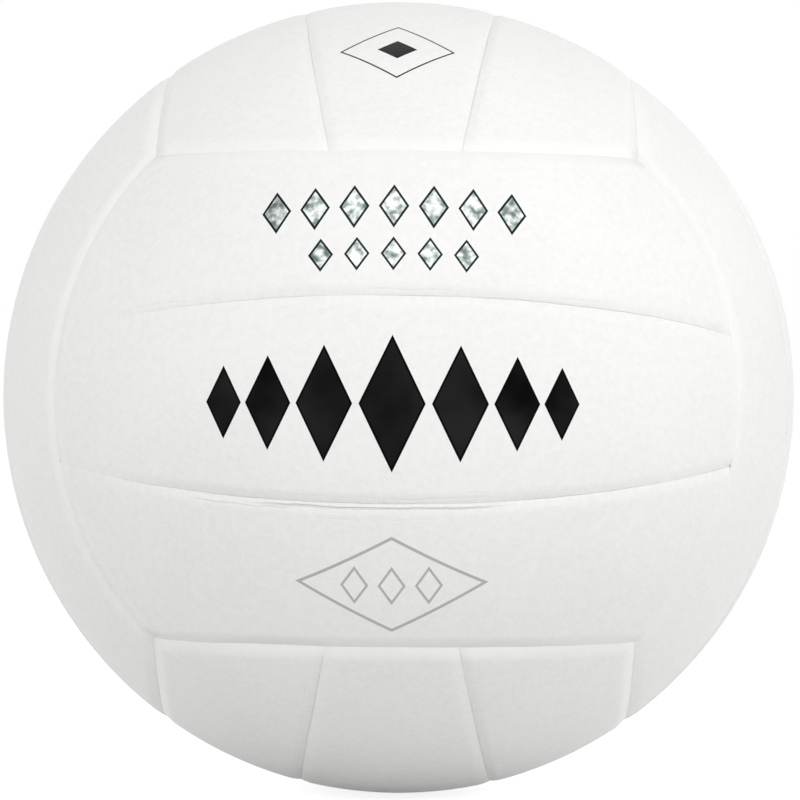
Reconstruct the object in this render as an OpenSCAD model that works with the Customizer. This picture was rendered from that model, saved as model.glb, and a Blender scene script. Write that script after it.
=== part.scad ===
// Indoor volleyball with eighteen leather panels in six blocks of three strips.
// The ball's centre is the origin, +Z is up and the front block faces -Y.
// Under the panels lie their cushion backings, a rubber carcass, a cloth wrap,
// a thread winding and a bladder. The valve sits in the back middle panel, on +Y.

/* [Ball] */
// Diameter of the ball over its panels
ball_d = 210; // [185:1:240]

/* [Layers] */
// Thickness of a leather panel
leather_t = 1.2; // [1:0.05:2]
// Thickness of the cushion backing glued under each panel
backing_t = 1.2; // [0.6:0.1:3]
// Thickness of the rubber carcass
carcass_t = 0.8; // [0.4:0.1:2]
// Thickness of the cloth wrap
cloth_t = 0.3; // [0.2:0.05:1]
// Thickness of the thread winding
winding_t = 0.5; // [0.3:0.05:1.5]
// Thickness of the bladder
bladder_t = 0.6; // [0.4:0.05:1.5]

/* [Panel seams] */
// Angle from a block's centre line to the seam of its middle strip, halfway along
seam_waist_angle = 13.8; // [11:0.1:16]
// Angle about the block's own axis to the end of that seam
seam_end_angle = 10.9; // [8.5:0.1:13]
// Width of the turned-down edge of a panel
edge_w = 1.4; // [0.8:0.05:3]
// Depth of that edge at the joint line, along a strip's sides
edge_depth = 0.55; // [0.3:0.05:0.9]
// Extra depth of the edge at a strip's ends
end_extra_depth = 0.2; // [0.1:0.05:0.4]
// Lean from the radius of the skived walls round a block
skive_angle = 2; // [1:0.5:5]

/* [Valve housing] */
// Diameter of the hole that the valve stands in
valve_hole_d = 7.5; // [6.6:0.1:9]
// Gap all round between the stem and its hole
stem_clearance = 0.1; // [0.05:0.05:0.25]
// Depth of the stem's face below the panel's surface
stem_recess = 0.4; // [0.2:0.05:0.8]
// Length of the housing from its face to its inner end
housing_l = 18; // [16:0.5:24]
// Diameter of the flange inside the bladder
flange_d = 26; // [16:1:36]
// Thickness of that flange
flange_t = 1.2; // [0.8:0.1:2]
// Diameter of the patch between bladder and flange
patch_d = 42; // [38:1:60]
// Thickness of that patch
patch_t = 0.8; // [0.5:0.1:1.5]
// Thickness of the glue film between bladder and patch, left free
glue_t = 0.3; // [0.1:0.05:0.5]
// Width of the bevel round the valve's hole in the panel
hole_bevel = 0.4; // [0.2:0.05:0.6]

/* [Valve core] */
// Diameter of the core's shank
core_d = 4.4; // [3.6:0.1:5]
// Depth of the core's face below the housing's face
core_recess = 0.3; // [0.1:0.05:0.8]
// Length of the core
core_l = 13; // [12:0.5:14.5]
// Diameter of the core's foot, which holds it in
foot_d = 5.6; // [5.2:0.1:6]
// Length of that foot
foot_l = 3; // [2:0.1:4]
// Gap all round between the core and the housing
core_clearance = 0.05; // [0.02:0.01:0.1]
// Diameter of the needle's hole
needle_d = 1.8; // [1.4:0.1:2.4]
// Depth of that hole below the core's face
needle_depth = 9.5; // [7:0.5:11]
// Diameter of the lead-in at the mouth of that hole
lead_in_d = 3.2; // [2.6:0.1:3.5]
// Depth of that lead-in
lead_in_depth = 0.7; // [0.4:0.05:1]
// Diameter of the air outlet in the housing's inner end
outlet_d = 2.4; // [1.5:0.1:4]

/* [Hidden] */
// Cuts run past what they cut by this much
overrun = 0.5;
ball_r = ball_d / 2;
backing_r = ball_r - leather_t;
carcass_r = backing_r - backing_t;
cloth_r = carcass_r - carcass_t;
winding_r = cloth_r - cloth_t;
bladder_r = winding_r - winding_t;
patch_r = bladder_r - bladder_t - glue_t;
flange_r = patch_r - patch_t;

// The blocks' outlines are circles through the corners of the cube inside the ball
corner_angle = acos(1 / sqrt(3));
// Distances from the centre between which all the layers lie
near_share = 0.7;
far_share = 1.1;
near = ball_r * near_share;
far = ball_r * far_share;

// The middle strip's seam lies in a plane through its waist and its two ends
waist_y = ball_r * cos(seam_waist_angle);
waist_z = ball_r * sin(seam_waist_angle);
end_y = ball_r * cos(corner_angle);
end_z = ball_r * sin(corner_angle) * sin(seam_end_angle);
seam_slope = (waist_z - end_z) / (waist_y - end_y);
seam_rise = waist_z - seam_slope * waist_y;
seam_tilt = atan(seam_slope);
seam_lean = asin(seam_rise * cos(seam_tilt) / ball_r);
seam_angle = 90 - seam_lean;

stem_d = valve_hole_d - 2 * stem_clearance;
housing_face = ball_r - stem_recess;
core_face = housing_face - core_recess;
core_end = core_face - core_l;
foot_top = core_end + foot_l;

$fn = 144;

// Block name, turn about Z, turn about the corner axis, and its strips in order
BLOCKS = [
    ["front", 0, 0, ["lower", "middle", "upper"]],
    ["back", 180, 0, ["lower", "middle", "upper"]],
    ["top", 0, -120, ["left", "middle", "right"]],
    ["bottom", 180, -120, ["left", "middle", "right"]],
    ["right", 0, 120, ["rear", "middle", "front"]],
    ["left", 180, 120, ["rear", "middle", "front"]],
];
ROWS = [-1, 0, 1];
VALVE_BLOCK = "back";

function piece_name(block, row, kind) = str(block[0], "_", block[3][row + 1], "_", kind);
function holds_valve(block, row) = block[0] == VALVE_BLOCK && row == 0;

// A seam is a circle about an axis, at an angle from the axis's pole. This is the point
// that lies in from the seam by w, and over the surface by n, in a half-plane through
// the axis. side is 1 for a panel between the seam and the pole, and -1 for one beyond.
function surface_point(angle, side, w, n) = [
    (ball_r + n) * sin(angle) - side * w * cos(angle),
    (ball_r + n) * cos(angle) + side * w * sin(angle),
];

// Point of the wall under the seam, on a line that leans from the radius
function wall_point(angle, lean, depth) = [
    ball_r * sin(angle) - depth * sin(angle + lean) / cos(lean),
    ball_r * cos(angle) - depth * cos(angle + lean) / cos(lean),
];

// A panel's side in that half-plane: the wall, then the turned-down edge up to outside
function side_line(angle, side, lean, depth) = [
    wall_point(angle, lean, ball_r - near),
    wall_point(angle, lean, depth),
    surface_point(angle, side, edge_w * (1 + overrun / depth), overrun),
];

module shell(outer_r, thickness) {
    difference() {
        sphere(r = outer_r);
        sphere(r = outer_r - thickness);
    }
}

// All that lies inside the circle round a block, about +Z
module block_space() {
    line = side_line(corner_angle, 1, skive_angle, edge_depth + end_extra_depth);
    rotate_extrude()
        polygon(concat([[0, line[0][1]]], line, [[line[2][0], far], [0, far]]));
}

// All that lies outside that circle, down to the ball's middle
module side_space() {
    line = side_line(corner_angle, -1, skive_angle, edge_depth);
    rotate_extrude()
        polygon(concat([[line[0][0], 0]], line, [[far, line[2][1]], [far, 0]]));
}

// All that lies on one side of the seam over the front block's middle strip:
// above it for side 1, and below it for side -1
module seam_space(side) {
    line = side_line(seam_angle, side, seam_lean, edge_depth);
    rotate([-seam_tilt, 0, 0])
        rotate_extrude()
            polygon(concat([[0, line[0][1]]], line, [[line[2][0], side * far], [0, side * far]]));
}

module flip(on) {
    if (on)
        mirror([0, 0, 1])
            children();
    else
        children();
}

// One strip of the front block, as a layer of the cover
module strip(row, outer_r, thickness) {
    if (row == 0)
        intersection() {
            shell(outer_r, thickness);
            seam_space(-1);
            flip(true)
                seam_space(-1);
            rotate([90, 0, 0])
                block_space();
        }
    else
        flip(row < 0)
            intersection() {
                shell(outer_r, thickness);
                seam_space(1);
                rotate([90, 0, 0])
                    block_space();
                side_space();
            }
}

// Turns a piece of the front block to another block
module place(block) {
    rotate(a = block[2], v = [1, -1, 1])
        rotate([0, 0, block[1]])
            children();
}

// Rod on the valve's axis between two distances from the ball's centre
module valve_rod(d, from, to) {
    rotate([-90, 0, 0])
        translate([0, 0, from])
            cylinder(h = to - from, d = d);
}

// Hole through every layer for the valve's stem
module valve_hole() {
    valve_rod(valve_hole_d, housing_face - housing_l, ball_r + overrun);
}

// Bevel round that hole in the panel's surface
module valve_hole_bevel() {
    rotate([-90, 0, 0])
        translate([0, 0, ball_r - hole_bevel])
            cylinder(
                h = hole_bevel + overrun,
                d1 = valve_hole_d,
                d2 = valve_hole_d + 2 * (hole_bevel + overrun)
            );
}

module panel(block, row) {
    color("whitesmoke")
        difference() {
            place(block)
                strip(row, ball_r, leather_t);
            if (holds_valve(block, row)) {
                valve_hole();
                valve_hole_bevel();
            }
        }
}

module backing(block, row) {
    color("ivory")
        difference() {
            place(block)
                strip(row, backing_r, backing_t);
            if (holds_valve(block, row))
                valve_hole();
        }
}

// Full layer with the valve's hole
module inner_layer(outer_r, thickness) {
    difference() {
        shell(outer_r, thickness);
        valve_hole();
    }
}

module rubber_carcass() {
    color("dimgray")
        inner_layer(carcass_r, carcass_t);
}

module cloth_wrap() {
    color("linen")
        inner_layer(cloth_r, cloth_t);
}

module thread_winding() {
    color("wheat")
        inner_layer(winding_r, winding_t);
}

module bladder() {
    color("black")
        inner_layer(bladder_r, bladder_t);
}

module valve_patch() {
    color("dimgray")
        difference() {
            intersection() {
                shell(patch_r, patch_t);
                valve_rod(patch_d, near, far);
            }
            valve_hole();
        }
}

module valve_housing() {
    color("darkgray")
        difference() {
            union() {
                intersection() {
                    shell(flange_r, flange_t);
                    valve_rod(flange_d, near, far);
                }
                valve_rod(stem_d, housing_face - housing_l, housing_face);
            }
            valve_rod(core_d + 2 * core_clearance, foot_top - overrun, housing_face + overrun);
            valve_rod(foot_d + 2 * core_clearance, core_end, foot_top);
            valve_rod(outlet_d, housing_face - housing_l - overrun, core_end + overrun);
        }
}

module valve_core() {
    color("lightgray")
        difference() {
            union() {
                valve_rod(core_d, core_end, core_face);
                valve_rod(foot_d, core_end, foot_top);
            }
            valve_rod(needle_d, core_face - needle_depth, core_face + overrun);
            rotate([-90, 0, 0])
                translate([0, 0, core_face - lead_in_depth])
                    cylinder(
                        h = lead_in_depth,
                        d1 = needle_d,
                        d2 = lead_in_d
                    );
        }
}

for (block = BLOCKS)
    for (row = ROWS) {
        panel(block, row);
        backing(block, row);
    }
rubber_carcass();
cloth_wrap();
thread_winding();
bladder();
valve_patch();
valve_housing();
valve_core();
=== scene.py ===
"""Indoor volleyball: eighteen leather panels, the needle valve and the layers inside.

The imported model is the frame. Lengths are in metres, and mm() turns millimetres into
them. The ball's centre is the origin, +Z is up, the front block of level strips faces
-Y, and the valve is on +Y.
"""
import logging
import math
from collections.abc import Sequence
from dataclasses import dataclass
from enum import Enum
from itertools import product

import bpy
from mathutils import Matrix, Vector, noise


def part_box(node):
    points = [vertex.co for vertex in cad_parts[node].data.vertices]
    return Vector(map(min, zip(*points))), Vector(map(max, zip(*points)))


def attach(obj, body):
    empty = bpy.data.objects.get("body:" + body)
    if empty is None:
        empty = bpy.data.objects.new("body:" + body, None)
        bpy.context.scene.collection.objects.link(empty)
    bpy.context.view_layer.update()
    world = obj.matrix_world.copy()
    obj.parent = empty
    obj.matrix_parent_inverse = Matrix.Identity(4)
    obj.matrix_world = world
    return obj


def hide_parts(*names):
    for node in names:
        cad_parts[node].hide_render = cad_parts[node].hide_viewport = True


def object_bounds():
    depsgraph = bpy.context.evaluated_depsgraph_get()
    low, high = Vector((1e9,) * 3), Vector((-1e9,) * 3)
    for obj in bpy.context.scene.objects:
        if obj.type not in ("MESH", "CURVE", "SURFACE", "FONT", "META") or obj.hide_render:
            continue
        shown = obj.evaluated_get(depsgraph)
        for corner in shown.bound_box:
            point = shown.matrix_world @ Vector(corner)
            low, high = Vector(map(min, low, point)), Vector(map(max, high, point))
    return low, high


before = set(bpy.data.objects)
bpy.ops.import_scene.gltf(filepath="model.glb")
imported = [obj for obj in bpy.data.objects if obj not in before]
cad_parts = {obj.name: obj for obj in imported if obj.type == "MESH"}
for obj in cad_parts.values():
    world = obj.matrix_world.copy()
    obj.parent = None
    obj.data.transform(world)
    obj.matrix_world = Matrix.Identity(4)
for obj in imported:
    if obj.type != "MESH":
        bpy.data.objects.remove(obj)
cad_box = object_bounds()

BODY = "root"
PICTURE_SIDE = 800
TO_MM = 1000.0
BEVEL_STEPS = 3
TURNED_SMOOTH = math.radians(50.0)
LEATHER_SMOOTH = math.radians(60.0)
NOISE_SEED = 7

log = logging.getLogger("volleyball")

WHITE = (1.0, 1.0, 1.0, 1.0)

Rgb = tuple[float, float, float]
Socket = bpy.types.NodeSocket


def mm(length: float) -> float:
    """Metres from millimetres."""
    return length / TO_MM


def deselect_all() -> None:
    """Leaves no object selected, so that an operator acts on new pieces alone."""
    bpy.ops.object.select_all(action="DESELECT")


def node_reach(node: str, axis: int = 1) -> tuple[float, float]:
    """Lowest and highest distance of a CAD node along an axis.

    Args:
        node: Name of the CAD node.
        axis: 0, 1 or 2 for X, Y or Z.

    Returns:
        The two distances, in metres.
    """
    low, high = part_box(node)
    return low[axis], high[axis]


# Seams on the ball

class Row(Enum):
    """The strips of a block, in order across it."""

    FIRST = -1
    MIDDLE = 0
    LAST = 1


class Block(Enum):
    """The six blocks of three strips: turn about Z, turn about a corner, strip names."""

    FRONT = (0.0, 0.0, ("lower", "middle", "upper"))
    BACK = (180.0, 0.0, ("lower", "middle", "upper"))
    TOP = (0.0, -120.0, ("left", "middle", "right"))
    BOTTOM = (180.0, -120.0, ("left", "middle", "right"))
    RIGHT = (0.0, 120.0, ("rear", "middle", "front"))
    LEFT = (180.0, 120.0, ("rear", "middle", "front"))

    def panel_name(self, row: Row) -> str:
        """Name of the block's panel in a row, without what it is made of."""
        return f"{self.name.lower()}_{self.value[2][row.value + 1]}"

    def turn(self) -> Matrix:
        """Works out where the block is.

        Returns:
            The turn that takes the front block to it.
        """
        about_z, about_corner, _ = self.value
        corner = Vector((1.0, -1.0, 1.0))
        turned = Matrix.Rotation(math.radians(about_corner), 4, corner)
        return turned @ Matrix.Rotation(math.radians(about_z), 4, "Z")


@dataclass(frozen=True)
class SeamPlane:
    """The plane z = rise + slope * forward, where forward is the distance along -Y.

    Attributes:
        rise: Height of the plane over the ball's middle.
        slope: Rise per length forward.
        inner: True for a seam inside a block, False for one round it.
    """

    rise: float
    slope: float
    inner: bool

    @property
    def stretch(self) -> float:
        """Length along the plane per length forward."""
        return math.hypot(1.0, self.slope)

    def away(self, point: Vector, ball_r: float) -> float:
        """Distance over the ball from a point on it to the seam.

        Args:
            point: A point on the ball, in the front block's place.
            ball_r: Radius of the ball.

        Returns:
            The arc's length, without a sign.
        """
        sine = (point.z + self.slope * point.y) / (self.stretch * ball_r)
        seam_sine = self.rise / (self.stretch * ball_r)
        return ball_r * abs(math.asin(sine) - math.asin(seam_sine))


@dataclass(frozen=True)
class SeamPlan:
    """Where the seams lie. Each is a circle on the ball.

    Attributes:
        ball_r: Radius of the ball over its panels.
        waist_angle: Angle from a block's centre line to the seam of its middle strip.
        end_angle: Angle about the block's own axis to the end of that seam.
    """

    ball_r: float
    waist_angle: float = math.radians(13.8)
    end_angle: float = math.radians(10.9)

    @property
    def cube_half(self) -> float:
        """Distance from the middle to the planes of the seams round the blocks."""
        return self.ball_r / math.sqrt(3.0)

    @property
    def junction(self) -> float:
        """Distance from a block's centre line to the end of its inner seam."""
        return math.sqrt(2.0) * self.cube_half * math.sin(self.end_angle)

    def inner_plane(self, side: int) -> SeamPlane:
        """Plane of a seam of the middle strip.

        Args:
            side: 1 for the seam above it, -1 for the one below.

        Returns:
            The plane.
        """
        waist_forward = self.ball_r * math.cos(self.waist_angle)
        waist_height = self.ball_r * math.sin(self.waist_angle)
        slope = (waist_height - self.junction) / (waist_forward - self.cube_half)
        rise = waist_height - slope * waist_forward
        return SeamPlane(side * rise, side * slope, True)

    def sides(self, row: Row) -> tuple[SeamPlane, SeamPlane]:
        """Planes of the seams along a strip.

        Args:
            row: The middle or the last strip.

        Returns:
            The lower seam's plane and the upper one's.
        """
        if row is Row.MIDDLE:
            return self.inner_plane(-1), self.inner_plane(1)
        return self.inner_plane(1), SeamPlane(self.cube_half, 0.0, False)

    def end_away(self, point: Vector) -> float:
        """Distance over the ball from a point of the front block to a strip's end."""
        sine, end_sine = min(-point.y / self.ball_r, 1.0), self.cube_half / self.ball_r
        return self.ball_r * abs(math.asin(sine) - math.asin(end_sine))

    def point(self, row: Row, along: float, across: float) -> Vector:
        """Point of a strip of the front block.

        Args:
            row: The strip.
            along: From -1 at the strip's left end to 1 at its right end.
            across: From -1 at the lower seam to 1 at the upper one.

        Returns:
            The point on the ball's surface.
        """
        low, high = self.sides(row)
        share = (across + 1.0) / 2.0
        rise = low.rise + (high.rise - low.rise) * share
        slope = low.slope + (high.slope - low.slope) * share
        stretch = math.hypot(1.0, slope)
        foot = Vector((0.0, slope * rise, rise)) / stretch**2
        radius = math.sqrt(self.ball_r**2 - foot.length_squared)
        reach = math.acos((self.cube_half + foot.y) * stretch / radius)
        angle = reach * along
        forward = radius * math.cos(angle) / stretch
        return foot + Vector((radius * math.sin(angle), -forward, forward * slope))


# Sums and nodes for the shaders

class Value:
    """An output that changes over a surface. Sums are written with it as with numbers."""

    def __init__(self, graph: "Graph", socket: Socket) -> None:
        """Keeps the graph that the sums go into, and the socket."""
        self.graph = graph
        self.socket = socket

    def __add__(self, other: "Value | float") -> "Value":
        """This and the other."""
        return self.graph.math("ADD", self, other)

    def __sub__(self, other: "Value | float") -> "Value":
        """This less the other."""
        return self.graph.math("SUBTRACT", self, other)

    def __rsub__(self, other: float) -> "Value":
        """The other less this."""
        return self.graph.math("SUBTRACT", other, self)

    def __mul__(self, other: "Value | float") -> "Value":
        """This times the other."""
        return self.graph.math("MULTIPLY", self, other)

    def __truediv__(self, other: "Value | float") -> "Value":
        """This over the other."""
        return self.graph.math("DIVIDE", self, other)

    def __rtruediv__(self, other: float) -> "Value":
        """The other over this."""
        return self.graph.math("DIVIDE", other, self)

    def __abs__(self) -> "Value":
        """This without its sign."""
        return self.graph.math("ABSOLUTE", self)


class Graph:
    """Adds nodes to one node tree and links them."""

    def __init__(self, tree: bpy.types.NodeTree) -> None:
        """Starts the tree empty."""
        self.tree = tree
        tree.nodes.clear()

    def put(self, socket: Socket, value: object) -> None:
        """Feeds an input.

        Args:
            socket: The input.
            value: A value or a socket to link to it, or what it is set to.
        """
        source = value.socket if isinstance(value, Value) else value
        if isinstance(source, Socket):
            self.tree.links.new(source, socket)
        else:
            socket.default_value = source

    def node(
        self, kind: str, inputs: dict[str | int, object] | None = None, **settings: object
    ) -> bpy.types.Node:
        """Adds a node.

        Args:
            kind: The node's type name.
            inputs: Values or sockets for its inputs, by name or number.
            settings: Attributes to set on the node.

        Returns:
            The new node.
        """
        made = self.tree.nodes.new(kind)
        for name, value in settings.items():
            setattr(made, name, value)
        for key, value in (inputs or {}).items():
            self.put(made.inputs[key], value)
        return made

    def math(self, operation: str, *values: Value | float, clamp: bool = False) -> Value:
        """Result of a Math node that takes these values in order."""
        made = self.node("ShaderNodeMath", dict(enumerate(values)), operation=operation, use_clamp=clamp)
        return Value(self, made.outputs[0])

    def scaled(self, vector: Value, factor: float) -> Value:
        """A vector times a number."""
        made = self.node("ShaderNodeVectorMath", {0: vector, "Scale": factor}, operation="SCALE")
        return Value(self, made.outputs["Vector"])

    def parts(self, vector: Value) -> list[Value]:
        """The three parts of a vector."""
        return [Value(self, part) for part in self.node("ShaderNodeSeparateXYZ", {0: vector}).outputs]

    def vector(self, *parts: Value | float) -> Value:
        """A vector of up to three parts."""
        return Value(self, self.node("ShaderNodeCombineXYZ", dict(enumerate(parts))).outputs[0])

    def attribute(self, name: str) -> Value:
        """A vector that the mesh keeps under that name."""
        return Value(self, self.node("ShaderNodeAttribute", attribute_name=name).outputs["Vector"])

    def ramp(self, value: Value, low: float, high: float, start: float = 0.0, end: float = 1.0) -> Value:
        """Turns a value smoothly into another.

        Args:
            value: The value.
            low: Where the result starts to change.
            high: Where it has changed.
            start: The result up to low.
            end: The result from high on.

        Returns:
            The result.
        """
        inputs = {"Value": value, "From Min": low, "From Max": high, "To Min": start, "To Max": end}
        made = self.node("ShaderNodeMapRange", inputs, interpolation_type="SMOOTHSTEP")
        return Value(self, made.outputs["Result"])

    def mix(self, share: Value, first: object, second: object) -> Value:
        """Mixes two colours.

        Args:
            share: Share of the second.
            first: A value or a fixed colour.
            second: The same.

        Returns:
            The colour between them.
        """
        made = self.node("ShaderNodeMix", data_type="RGBA")
        for name, value in (("Factor", share), ("A", first), ("B", second)):
            self.put(made.inputs[name], value)
        return Value(self, made.outputs["Result"])

    def millimetres(self) -> Value:
        """The object's own coordinates, counted in millimetres."""
        return self.scaled(Value(self, self.node("ShaderNodeTexCoord").outputs["Object"]), TO_MM)

    def noise(self, vector: Value, size: Value | float, detail: float = 2.0) -> Value:
        """Noise from 0 to 1 with lumps of about size, in the vector's unit."""
        inputs = {"Vector": vector, "Scale": 1.0 / size, "Detail": detail}
        return Value(self, self.node("ShaderNodeTexNoise", inputs).outputs[0])

    def bump(self, height: Value, unit: float, normal: Value | None = None) -> Value:
        """Turns a height into a normal.

        Args:
            height: The height.
            unit: Length that a height of 1 stands for, in metres.
            normal: The normal that it is laid on, if it isn't the mesh's own.

        Returns:
            The normal.
        """
        inputs = {"Strength": 1.0, "Distance": unit, "Height": height}
        if normal is not None:
            inputs["Normal"] = normal
        return Value(self, self.node("ShaderNodeBump", inputs).outputs["Normal"])

    def group(self, tree: bpy.types.NodeTree, **inputs: object) -> dict[str, Value]:
        """Places a node group.

        Args:
            tree: The group.
            inputs: Its inputs by name, in small letters and with _ for a space.

        Returns:
            Its outputs by name.
        """
        made = self.node("ShaderNodeGroup", node_tree=tree)
        for name, value in inputs.items():
            self.put(made.inputs[name.replace("_", " ").capitalize()], value)
        return {socket.name: Value(self, socket) for socket in made.outputs}


class Effect(Graph):
    """A node group that is still being built."""

    def __init__(self, name: str, inputs: dict[str, float | None], outputs: Sequence[str]) -> None:
        """Starts the group with its sockets.

        Args:
            name: Its name.
            inputs: Its inputs by name with their first values, None for a vector.
            outputs: Names of its outputs.
        """
        super().__init__(bpy.data.node_groups.new(name, "ShaderNodeTree"))
        sockets = self.tree.interface
        for label, value in inputs.items():
            kind = "NodeSocketVector" if value is None else "NodeSocketFloat"
            made = sockets.new_socket(label, in_out="INPUT", socket_type=kind)
            if value is not None:
                made.default_value = value
        for label in outputs:
            sockets.new_socket(label, in_out="OUTPUT", socket_type="NodeSocketFloat")
        entries = self.node("NodeGroupInput").outputs
        self.entry = [Value(self, entries[label]) for label in inputs]
        self.exit_node = self.node("NodeGroupOutput")

    def finish(self, **outputs: Value) -> bpy.types.NodeTree:
        """Closes the group.

        Args:
            outputs: What it puts out, by name in small letters.

        Returns:
            The group.
        """
        for name, value in outputs.items():
            self.put(self.exit_node.inputs[name.capitalize()], value)
        return self.tree


class Effects:
    """Effects that several finishes share, each one node group."""

    def __init__(self) -> None:
        """Builds the groups."""
        self.blotches = self.build_blotches()
        self.grain = self.build_grain()
        self.weave = self.build_weave()
        self.diamonds = self.build_diamonds()
        self.creases = self.build_creases()
        self.padding = self.build_padding()
        self.fold = self.build_fold()

    @staticmethod
    def build_blotches() -> bpy.types.NodeTree:
        """Builds a slow, soft change of tone, as in a surface that isn't quite even.

        Returns:
            The group.
        """
        inputs = {"Vector": None, "Size": 20.0, "Low": 0.0, "High": 1.0}
        effect = Effect("soft blotches", inputs, ("Tone",))
        vector, size, low, high = effect.entry
        rarely_under, rarely_over = 0.3, 0.7
        evened = effect.ramp(effect.noise(vector, size, 3.0), rarely_under, rarely_over)
        return effect.finish(tone=evened * (high - low) + low)

    @staticmethod
    def build_grain() -> bpy.types.NodeTree:
        """Builds pebbles with fine valleys between them, pores, and lumps under them.

        Returns:
            The group.
        """
        inputs = {"Vector": None, "Pebble": 0.8, "Valley": 0.3}
        effect = Effect("pebble grain", inputs, ("Height", "Valleys", "Mottle"))
        vector, pebble, valley = effect.entry
        bends_per_mm, bend = 0.9, 0.5
        pore_share, lump_share = 0.35, 2.2
        pore_h, pebble_h, lump_h = 0.35, 0.5, 1.4
        wander = effect.node("ShaderNodeTexNoise", {"Vector": vector, "Scale": bends_per_mm, "Detail": 1.0})
        lean = effect.scaled(Value(effect, wander.outputs["Color"]), bend)
        moved = effect.node("ShaderNodeVectorMath", {0: vector, 1: lean}, operation="ADD")
        bent = Value(effect, moved.outputs["Vector"])
        cells = effect.node(
            "ShaderNodeTexVoronoi", {"Vector": bent, "Scale": 1.0 / pebble}, feature="DISTANCE_TO_EDGE"
        )
        raised = effect.ramp(Value(effect, cells.outputs["Distance"]) / valley, 0.0, 1.0)
        pores = effect.noise(bent, pebble * pore_share)
        lumps = effect.noise(bent, pebble * lump_share, 3.0)
        height = pores * pore_h + raised * pebble_h + lumps * lump_h
        return effect.finish(height=height, valleys=1.0 - raised, mottle=lumps - 0.5)

    @staticmethod
    def build_weave() -> bpy.types.NodeTree:
        """Builds threads that cross over and under each other, laid round the ball.

        Returns:
            The group.
        """
        effect = Effect("crossed threads", {"Vector": None, "Pitch": 1.0, "Cross": 1.0}, ("Height", "Gaps"))
        vector, pitch, cross = effect.entry
        east, north, up = effect.parts(vector)
        length = effect.node("ShaderNodeVectorMath", {0: vector}, operation="LENGTH")
        around = effect.math("ARCTAN2", east, north) * Value(effect, length.outputs["Value"])
        warp = abs(effect.math("SINE", around * math.pi / pitch))
        weft = abs(effect.math("SINE", up * math.pi / pitch)) * cross
        height = effect.math("MAXIMUM", warp, weft)
        gap_h = 0.5
        return effect.finish(height=height, gaps=effect.ramp(height, 0.0, gap_h, 1.0, 0.0))

    @staticmethod
    def build_diamonds() -> bpy.types.NodeTree:
        """Builds a row of upright diamonds that shrink towards its ends, and their rims.

        Returns:
            The group.
        """
        names = ("Wide", "High", "Pitch", "Each side", "Shrink", "Line")
        effect = Effect("row of diamonds", {"Vector": None, **dict.fromkeys(names, 1.0)}, ("Mask", "Rim"))
        vector, widest, highest, pitch, each_side, shrink, line = effect.entry
        across, up, _ = effect.parts(vector)
        out = abs(across) / pitch
        left = effect.math("SQRT", effect.math("MAXIMUM", 1.0 - out * shrink * 2.0, 0.0))
        count = effect.math("MINIMUM", effect.math("ROUND", (1.0 - left) / shrink), each_side)
        scale = 1.0 - count * shrink
        middle = count * (scale + 1.0) * 0.5
        aside = (out - middle) * pitch
        wide, high = widest * scale, highest * scale
        slant = wide * high / effect.math("SQRT", wide * wide + high * high)
        inside = (1.0 - (abs(aside) / wide + abs(up) / high)) * slant
        soft = 0.06
        filled = effect.ramp(inside, -soft, soft)
        hollow = effect.ramp(inside - line, -soft, soft)
        return effect.finish(mask=filled, rim=filled - hollow)

    @staticmethod
    def build_creases() -> bpy.types.NodeTree:
        """Builds creases and puckers of leather that is pulled into a seam.

        Returns:
            The group.
        """
        inputs = {"Vector": None, "Step": 1.35, "Width": 0.2, "Pucker": 1.1}
        effect = Effect("seam creases", inputs, ("Height",))
        vector, step, width, pucker = effect.entry
        along, away, panel = effect.parts(vector)
        wave_l, wave, stretch_l = 11.0, 1.2, 27.0
        reach, panel_step, line_step = 4.0, 9.0, 140.0
        shown_from, shown_whole, rarer = 0.5, 0.62, 0.04
        pucker_l, pucker_w = 0.3, 1.6
        creases = None
        for line in (1, 2, 3):
            slow = effect.vector(along, line * line_step, panel * (panel_step * 20.0))
            middle = (effect.noise(slow, wave_l, 1.0) * wave + (line - wave / 2.0)) * step
            offset = (away - middle) / width
            bell = effect.math("EXPONENT", offset * offset * -1.0)
            low, high = shown_from + rarer * line, shown_whole + rarer * line
            crease = bell * effect.ramp(effect.noise(slow, stretch_l, 1.0), low, high)
            creases = crease if creases is None else creases + crease
        stretched = effect.vector(along * pucker_l, away * pucker_w, panel * panel_step)
        puckers = effect.noise(stretched, 1.0) * effect.ramp(away, 0.0, reach, 1.0, 0.0) * pucker
        return effect.finish(height=puckers - creases)

    @staticmethod
    def build_padding() -> bpy.types.NodeTree:
        """Builds the soft roundness of a padded panel towards its seam.

        Returns:
            The group.
        """
        names = ("Away", "Width", "Slope", "Share")
        effect = Effect("padded edge", dict.fromkeys(names, 1.0), ("Height",))
        away, width, slope, share = effect.entry
        part = effect.math("MINIMUM", away / width, 1.0)
        rise = part - part * part * part / 3.0 - 2.0 / 3.0
        return effect.finish(height=rise * width * slope * share)

    @staticmethod
    def build_fold() -> bpy.types.NodeTree:
        """Builds one long thin crease beside a seam.

        Returns:
            The group.
        """
        names = ("Start", "End", "Beside", "Width", "Depth")
        effect = Effect("long fold", {"Vector": None, **dict.fromkeys(names, 1.0)}, ("Height", "Mask"))
        vector, start, end, beside, width, depth = effect.entry
        along, away, _ = effect.parts(vector)
        wave_l, wave, fade_from, row_of_noise = 9.0, 0.9, 0.55, 31.0
        bent = effect.noise(effect.vector(along, row_of_noise), wave_l) * wave - wave / 2.0
        offset = (away - (beside + bent)) / width
        bell = effect.math("EXPONENT", offset * offset * -1.0)
        middle, half = (start + end) * 0.5, (end - start) * 0.5
        mask = bell * effect.ramp(abs(along - middle) / half, fade_from, 1.0, 1.0, 0.0)
        return effect.finish(height=mask * depth * -1.0, mask=mask)


# Finishes

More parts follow.
